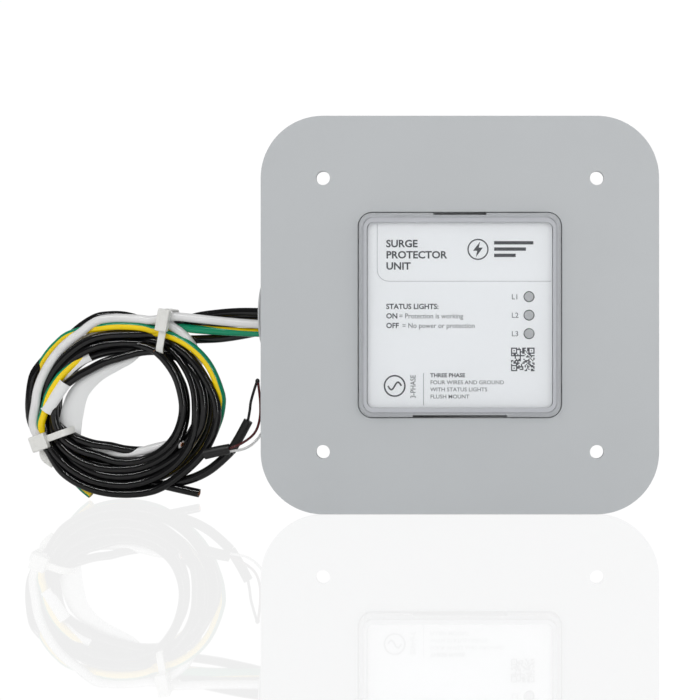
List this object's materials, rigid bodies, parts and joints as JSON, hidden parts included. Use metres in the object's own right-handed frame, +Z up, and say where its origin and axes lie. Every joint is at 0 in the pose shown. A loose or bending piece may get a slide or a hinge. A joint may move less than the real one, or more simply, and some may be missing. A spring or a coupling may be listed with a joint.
{
  "type": "whole house surge protector",
  "caption": "Hard-wired three-phase surge protector on a square flush plate, with a clear lid over its status card, a side conduit nipple and coiled leads.",
  "frame": {"origin": "centre of the flush plate's back face, in the plane of the wall", "axes": "+Z up, -Y out of the wall towards the room, +X to the right as seen from the room"},
  "size_m": [0.3423, 0.066, 0.2032],
  "materials": {
    "plate_plastic": "fine matte",
    "shell_plastic": "satin",
    "nipple_plastic": "satin",
    "clear_plastic": "clear, polished",
    "seal_rubber": "matte",
    "card_print": "smooth printed film",
    "smoked_lens": "smoky, polished",
    "led_lens": "polished",
    "board_laminate": "solder mask",
    "varistor_coating": "dipped epoxy",
    "cutoff_body": "satin",
    "relay_plastic": "moulded",
    "zinc_plate": "bright zinc plate",
    "black_insulation": "glossy vinyl",
    "white_insulation": "glossy vinyl",
    "green_yellow_insulation": "glossy vinyl, yellow stripe",
    "red_insulation": "glossy vinyl",
    "cable_jacket": "satin vinyl",
    "nylon": "natural, slightly translucent",
    "label_vinyl": "smooth",
    "shrink_tube": "satin"
  },
  "bodies": {
    "housing": {"flush_plate": "plate_plastic", "case_base": "shell_plastic", "lid_gasket": "seal_rubber", "legend_card": "card_print", "inner_cover": "shell_plastic", "circuit_board": "board_laminate", "alarm_relay": "relay_plastic", "conduit_nipple": "nipple_plastic", "hub_seal": "seal_rubber", "case_locknut": "zinc_plate", "lead_coil": "black_insulation", "tie_top": "nylon", "tie_side": "nylon", "flag_label": "label_vinyl", "sleeve_label": "label_vinyl", "lead_l3_tail": "black_insulation", "alarm_cable_tail": "cable_jacket", "wire_sleeve_1": "shrink_tube", "wire_sleeve_2": "shrink_tube", "alarm_wire_black": "black_insulation", "alarm_wire_red": "red_insulation", "alarm_wire_white": "white_insulation", "light_pipe_l1": "smoked_lens", "status_led_l1": "led_lens", "thermal_cutoff_l1": "cutoff_body", "light_pipe_l2": "smoked_lens", "status_led_l2": "led_lens", "thermal_cutoff_l2": "cutoff_body", "light_pipe_l3": "smoked_lens", "status_led_l3": "led_lens", "thermal_cutoff_l3": "cutoff_body", "varistor_1": "varistor_coating", "varistor_2": "varistor_coating", "varistor_3": "varistor_coating", "varistor_4": "varistor_coating", "varistor_5": "varistor_coating", "varistor_6": "varistor_coating", "varistor_7": "varistor_coating", "case_screw_1": "zinc_plate", "case_screw_2": "zinc_plate", "case_screw_3": "zinc_plate", "case_screw_4": "zinc_plate", "board_screw_1": "zinc_plate", "board_screw_2": "zinc_plate", "lead_l1_inside": "black_insulation", "lead_l1_outside": "black_insulation", "lead_l2_inside": "black_insulation", "lead_l2_outside": "black_insulation", "lead_l3_inside": "black_insulation", "lead_l3_outside": "black_insulation", "lead_neutral_inside": "white_insulation", "lead_neutral_outside": "white_insulation", "lead_ground_inside": "green_yellow_insulation", "lead_ground_outside": "green_yellow_insulation", "alarm_cable_inside": "cable_jacket", "alarm_cable_outside": "cable_jacket"},
    "lid": {"clear_lid": "clear_plastic"},
    "locknut": {"panel_locknut": "zinc_plate"},
    "bushing": {"end_bushing": "nipple_plastic"}
  },
  "joints": [
    {"name": "lid_pull", "type": "slide", "parent": "housing", "child": "lid", "axis": [0, -1, 0], "range_m": [0, 0.02]},
    {"name": "locknut_turn", "type": "hinge", "parent": "housing", "child": "locknut", "pos_m": [-0.09, 0.0325, 0], "axis": [1, 0, 0], "continuous": true},
    {"name": "bushing_turn", "type": "hinge", "parent": "housing", "child": "bushing", "pos_m": [-0.1, 0.0325, 0], "axis": [1, 0, 0], "continuous": true}
  ]
}
